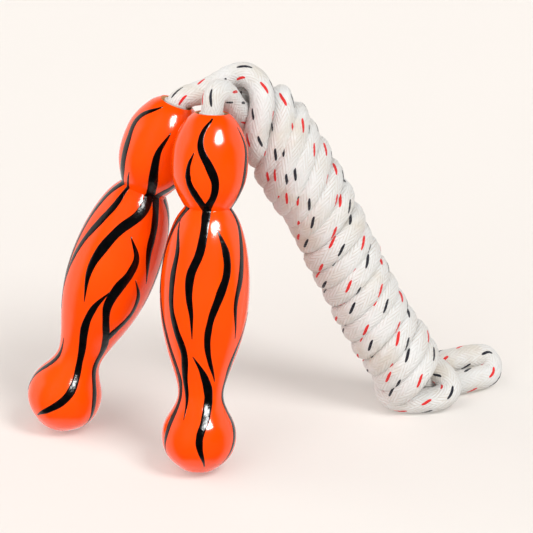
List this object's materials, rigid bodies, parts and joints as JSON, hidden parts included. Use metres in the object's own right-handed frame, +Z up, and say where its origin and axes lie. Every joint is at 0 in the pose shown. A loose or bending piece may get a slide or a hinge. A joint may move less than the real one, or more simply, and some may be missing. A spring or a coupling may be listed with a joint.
{
  "type": "skipping rope",
  "caption": "Skipping rope with turned wooden handles in a hand-painted stripe pattern, its braided cotton rope wound on itself into a hank; stands as a tripod.",
  "frame": {"origin": "on the surface that the rope stands on, at the middle of the box around the two handles", "axes": "+Z up; the hank runs down towards +X, and the handles lean back towards +Y with their heads together"},
  "size_m": [0.1827, 0.0966, 0.1469],
  "materials": {
    "painted_wood": "turned beech in high-gloss orange enamel with hand-painted black stripes",
    "cotton_rope": "soft white braided cotton with red and black fleck yarns",
    "zinc_steel": "zinc-plated steel",
    "aluminium_ferrule": "plain crimped aluminium"
  },
  "bodies": {
    "rope": {"rope_hank": "cotton_rope", "rope_bight": "cotton_rope", "rope_lead_left": "cotton_rope", "rope_lead_right": "cotton_rope", "rope_end_left": "cotton_rope", "rope_end_right": "cotton_rope", "washer_left": "zinc_steel", "washer_right": "zinc_steel", "ferrule_left": "aluminium_ferrule", "ferrule_right": "aluminium_ferrule"},
    "left_handle": {"handle_left": "painted_wood", "end_plug_left": "painted_wood"},
    "right_handle": {"handle_right": "painted_wood", "end_plug_right": "painted_wood"}
  },
  "joints": [
    {"name": "left_handle_spin", "type": "hinge", "parent": "rope", "child": "left_handle", "pos_m": [-0.03315, 0.00993, 0.00199], "axis": [0.348, 0.121, 0.9297], "continuous": true},
    {"name": "right_handle_spin", "type": "hinge", "parent": "rope", "child": "right_handle", "pos_m": [0.02275, -0.02817, 0.00137], "axis": [0.04, 0.25, 0.9674], "continuous": true}
  ]
}
